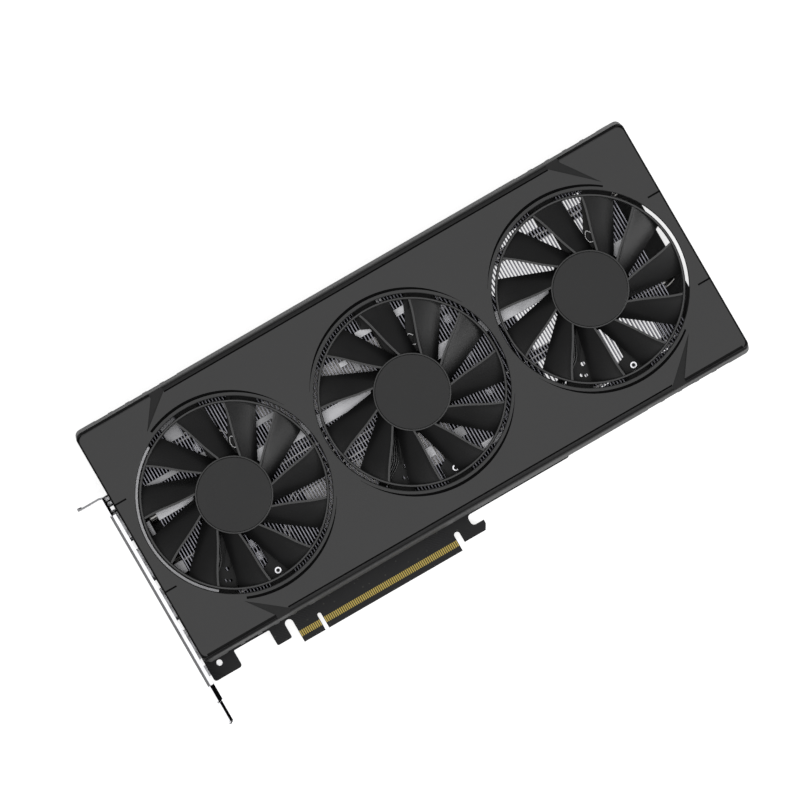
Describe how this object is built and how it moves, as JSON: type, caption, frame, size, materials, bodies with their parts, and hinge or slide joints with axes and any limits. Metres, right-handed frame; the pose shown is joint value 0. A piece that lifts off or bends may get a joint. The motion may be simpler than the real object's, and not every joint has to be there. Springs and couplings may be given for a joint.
{
  "type": "graphics card",
  "caption": "Long two-slot graphics card, black, with round fans in a slatted shroud, a finned cooler, a slot bracket and a full-length backplate.",
  "frame": {"origin": "centre of the card's footprint, at the backplate's outer face", "axes": "+X runs along the card away from the slot bracket, +Y across it away from the edge connector, +Z from the backplate to the fans"},
  "size_m": [0.3042, 0.1518, 0.0416],
  "materials": {
    "shroud_plastic": "fine-textured black moulding",
    "frame_plastic": "smooth black moulding",
    "rotor_plastic": "satin black moulding",
    "rotor_magnet": "dark bonded ferrite",
    "plated_steel": "nickel-plated steel",
    "black_screw": "blackened steel",
    "bearing_bronze": "sintered bronze",
    "stator_core": "stacked steel sheet",
    "backplate_metal": "black powder coat",
    "bracket_steel": "bright plated steel",
    "board_laminate": "black solder mask",
    "plated_copper": "nickel-plated copper",
    "socket_shell": "folded plated shell",
    "socket_plastic": "black nylon",
    "aluminium_fin": "bare rolled sheet",
    "package_laminate": "green laminate",
    "silicon": "polished silicon",
    "memory_plastic": "moulded package"
  },
  "bodies": {
    "card": {"backplate": "backplate_metal", "backplate_screw_1": "black_screw", "backplate_screw_2": "black_screw", "backplate_screw_3": "black_screw", "backplate_screw_4": "black_screw", "bearing_1": "bearing_bronze", "bearing_2": "bearing_bronze", "bearing_3": "bearing_bronze", "bracket": "bracket_steel", "bracket_screw_1": "black_screw", "bracket_screw_2": "black_screw", "circuit_board": "board_laminate", "cold_plate": "plated_copper", "display_socket_1": "socket_shell", "display_socket_2": "socket_shell", "display_socket_3": "socket_shell", "display_socket_4": "socket_shell", "fan_frame_1": "frame_plastic", "fan_frame_2": "frame_plastic", "fan_frame_3": "frame_plastic", "fan_screw_1": "plated_steel", "fan_screw_2": "plated_steel", "fan_screw_3": "plated_steel", "fin_rail": "aluminium_fin", "fin_stack": "aluminium_fin", "gpu_die": "silicon", "gpu_package": "package_laminate", "heatpipe_1": "plated_copper", "heatpipe_2": "plated_copper", "heatpipe_3": "plated_copper", "heatpipe_4": "plated_copper", "memory_chip_1": "memory_plastic", "memory_chip_2": "memory_plastic", "memory_chip_3": "memory_plastic", "memory_chip_4": "memory_plastic", "memory_chip_5": "memory_plastic", "memory_chip_6": "memory_plastic", "power_socket_1": "socket_plastic", "power_socket_2": "socket_plastic", "retention_screw_1": "black_screw", "retention_screw_2": "black_screw", "retention_screw_3": "black_screw", "retention_screw_4": "black_screw", "retention_spring": "plated_steel", "shroud": "shroud_plastic", "stator_1": "stator_core", "stator_2": "stator_core", "stator_3": "stator_core"},
    "fan_1": {"rotor_1": "rotor_plastic", "rotor_magnet_1": "rotor_magnet", "rotor_shaft_1": "plated_steel"},
    "fan_2": {"rotor_2": "rotor_plastic", "rotor_magnet_2": "rotor_magnet", "rotor_shaft_2": "plated_steel"},
    "fan_3": {"rotor_3": "rotor_plastic", "rotor_magnet_3": "rotor_magnet", "rotor_shaft_3": "plated_steel"}
  },
  "joints": [
    {"name": "fan_1_spin", "type": "hinge", "parent": "card", "child": "fan_1", "pos_m": [-0.08636, 0.01453, 0.0364], "axis": [0, 0, 1], "continuous": true},
    {"name": "fan_2_spin", "type": "hinge", "parent": "card", "child": "fan_2", "pos_m": [0.00774, 0.01453, 0.0364], "axis": [0, 0, 1], "continuous": true},
    {"name": "fan_3_spin", "type": "hinge", "parent": "card", "child": "fan_3", "pos_m": [0.10184, 0.01453, 0.0364], "axis": [0, 0, 1], "continuous": true}
  ]
}
